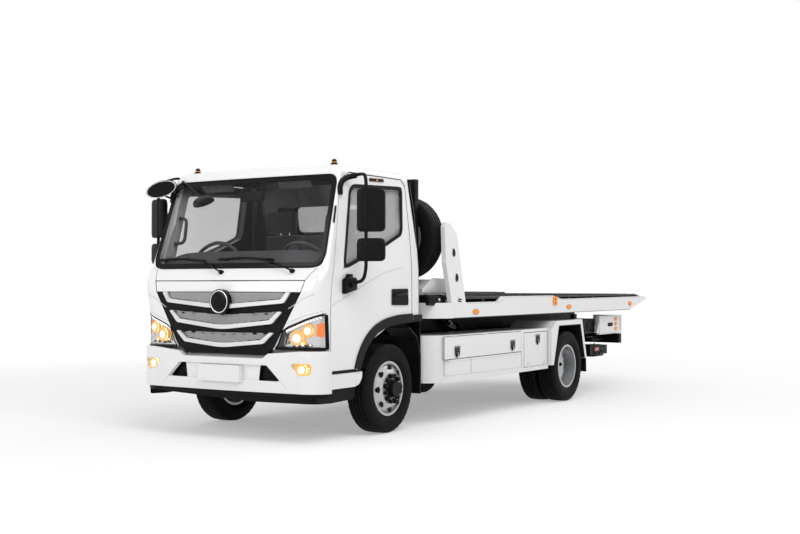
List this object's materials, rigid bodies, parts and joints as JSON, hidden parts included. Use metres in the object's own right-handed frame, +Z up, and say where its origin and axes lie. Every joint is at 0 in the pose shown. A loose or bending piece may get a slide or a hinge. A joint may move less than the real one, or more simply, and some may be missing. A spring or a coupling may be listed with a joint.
{
  "type": "slide-bed tow truck",
  "caption": "Tow truck with a tilting forward-control cab, a bed that tilts and slides to the ground, twin rear wheels, side tool boxes and a rear wheel-lift boom.",
  "frame": {"origin": "on the ground under the middle of the vehicle's outline", "axes": "+X forward, +Y to the vehicle's left, +Z up"},
  "size_m": [7.031, 2.584, 2.327],
  "materials": {
    "white_paint": "gloss",
    "grey_paint": "satin",
    "black_steel": "satin",
    "black_plastic": "grained",
    "hub_black": "satin",
    "glass": "clear",
    "lamp_lens": "clear",
    "rod_chrome": "polished",
    "deck_plate": "anti-slip",
    "seat_fabric": "woven",
    "silver_trim": "satin",
    "tyre": "rubber",
    "rim_silver": "satin"
  },
  "bodies": {
    "chassis": {"ladder_frame": "black_steel", "engine_block": "black_steel", "front_axle": "black_steel", "rear_axle": "black_steel", "leaf_springs": "black_steel", "skirts": "white_paint", "rear_fenders": "white_paint", "front_mudguards": "black_plastic", "tail_lamp_boxes": "white_paint"},
    "cab": {"cab_shell": "white_paint", "cab_glass": "glass", "headlamps": "lamp_lens", "bumper": "white_paint", "bumper_lip": "black_plastic", "step_panels": "white_paint", "roof_lamps": "black_plastic", "dashboard": "black_plastic", "seats": "seat_fabric", "air_intake": "black_plastic"},
    "front_lid": {"front_lid": "white_paint", "grille_surround": "black_plastic", "grille_bars": "silver_trim"},
    "tilt_frame": {"tilt_frame": "black_steel"},
    "tilt_barrels": {"tilt_barrels": "black_steel"},
    "tilt_rods": {"tilt_rods": "rod_chrome"},
    "bed": {"bed_frame": "white_paint", "bed_ribs": "black_steel", "bed_runners": "black_steel", "deck": "deck_plate", "winch_cover": "grey_paint", "winch": "black_steel", "spare_tyre": "tyre", "spare_rim": "rim_silver"},
    "underlift_boom": {"underlift_boom": "black_steel"},
    "underlift_bar": {"underlift_bar": "black_steel"},
    "door_left": {"cab_door_left": "white_paint", "door_glass_left": "glass", "mirror_left": "black_plastic"},
    "knuckle_left": {"knuckle_left": "black_steel"},
    "wheel_front_left": {"tyre_front_left": "tyre", "rim_front_left": "rim_silver", "hub_front_left": "hub_black"},
    "wheels_rear_left": {"tyres_rear_left": "tyre", "rims_rear_left": "rim_silver", "hub_rear_left": "hub_black"},
    "box_door_long_left": {"box_door_long_left": "white_paint"},
    "box_door_rear_left": {"box_door_rear_left": "white_paint"},
    "door_right": {"cab_door_right": "white_paint", "door_glass_right": "glass", "mirror_right": "black_plastic"},
    "knuckle_right": {"knuckle_right": "black_steel"},
    "wheel_front_right": {"tyre_front_right": "tyre", "rim_front_right": "rim_silver", "hub_front_right": "hub_black"},
    "wheels_rear_right": {"tyres_rear_right": "tyre", "rims_rear_right": "rim_silver", "hub_rear_right": "hub_black"},
    "box_door_long_right": {"box_door_long_right": "white_paint"},
    "box_door_rear_right": {"box_door_rear_right": "white_paint"}
  },
  "joints": [
    {"name": "cab_tilt", "type": "hinge", "parent": "chassis", "child": "cab", "pos_m": [3.3135, 0, 0.56], "axis": [0, 1, 0], "range_deg": [0, 40]},
    {"name": "front_lid", "type": "hinge", "parent": "cab", "child": "front_lid", "pos_m": [3.4035, 0, 1.321], "axis": [0, -1, 0], "range_deg": [0, 60]},
    {"name": "bed_tilt", "type": "hinge", "parent": "chassis", "child": "tilt_frame", "pos_m": [-2.8465, 0, 0.866], "axis": [0, -1, 0], "range_deg": [0, 15]},
    {"name": "bed_slide", "type": "slide", "parent": "tilt_frame", "child": "bed", "axis": [-1, 0, 0], "range_m": [0, 3.5]},
    {"name": "tilt_cylinder_swing", "type": "hinge", "parent": "chassis", "child": "tilt_barrels", "pos_m": [-0.3165, 0, 0.65], "axis": [0, -1, 0], "range_deg": [0, 42.02]},
    {"name": "tilt_cylinder_stroke", "type": "slide", "parent": "tilt_barrels", "child": "tilt_rods", "axis": [0.9611, 0, 0.2763], "range_m": [0, 0.456]},
    {"name": "underlift_lower", "type": "hinge", "parent": "chassis", "child": "underlift_boom", "pos_m": [-2.0365, 0, 0.47], "axis": [0, -1, 0], "range_deg": [0, 12]},
    {"name": "underlift_reach", "type": "slide", "parent": "underlift_boom", "child": "underlift_bar", "axis": [-1, 0, 0], "range_m": [0, 0.5]},
    {"name": "door_left", "type": "hinge", "parent": "cab", "child": "door_left", "pos_m": [3.2675, 0.957, 1.4], "axis": [0, 0, -1], "range_deg": [0, 65]},
    {"name": "steer_left", "type": "hinge", "parent": "chassis", "child": "knuckle_left", "pos_m": [2.3835, 0.735, 0.3835], "axis": [0, 0, 1], "range_deg": [-35, 35]},
    {"name": "spin_front_left", "type": "hinge", "parent": "knuckle_left", "child": "wheel_front_left", "pos_m": [2.3835, 0.8515, 0.3835], "axis": [0, 1, 0], "continuous": true},
    {"name": "spin_rear_left", "type": "hinge", "parent": "chassis", "child": "wheels_rear_left", "pos_m": [-0.9765, 0.9115, 0.3835], "axis": [0, 1, 0], "continuous": true},
    {"name": "box_door_long_left", "type": "hinge", "parent": "chassis", "child": "box_door_long_left", "pos_m": [0.9185, 1.1, 0.8], "axis": [1, 0, 0], "range_deg": [0, 95]},
    {"name": "box_door_rear_left", "type": "hinge", "parent": "chassis", "child": "box_door_rear_left", "pos_m": [-0.2125, 1.1, 0.433], "axis": [-1, 0, 0], "range_deg": [0, 90]},
    {"name": "door_right", "type": "hinge", "parent": "cab", "child": "door_right", "pos_m": [3.2675, -0.957, 1.4], "axis": [0, 0, 1], "range_deg": [0, 65]},
    {"name": "steer_right", "type": "hinge", "parent": "chassis", "child": "knuckle_right", "pos_m": [2.3835, -0.735, 0.3835], "axis": [0, 0, 1], "range_deg": [-35, 35]},
    {"name": "spin_front_right", "type": "hinge", "parent": "knuckle_right", "child": "wheel_front_right", "pos_m": [2.3835, -0.8515, 0.3835], "axis": [0, 1, 0], "continuous": true},
    {"name": "spin_rear_right", "type": "hinge", "parent": "chassis", "child": "wheels_rear_right", "pos_m": [-0.9765, -0.9115, 0.3835], "axis": [0, 1, 0], "continuous": true},
    {"name": "box_door_long_right", "type": "hinge", "parent": "chassis", "child": "box_door_long_right", "pos_m": [0.9185, -1.1, 0.8], "axis": [-1, 0, 0], "range_deg": [0, 95]},
    {"name": "box_door_rear_right", "type": "hinge", "parent": "chassis", "child": "box_door_rear_right", "pos_m": [-0.2125, -1.1, 0.433], "axis": [1, 0, 0], "range_deg": [0, 90]}
  ],
  "couplings": [
    {"joint": "steer_right", "follows": "steer_left", "ratio": 1},
    {"joint": "tilt_cylinder_swing", "follows": "bed_tilt", "ratio": 2.795},
    {"joint": "tilt_cylinder_stroke", "follows": "bed_tilt", "m_per_rad": 1.7381}
  ]
}
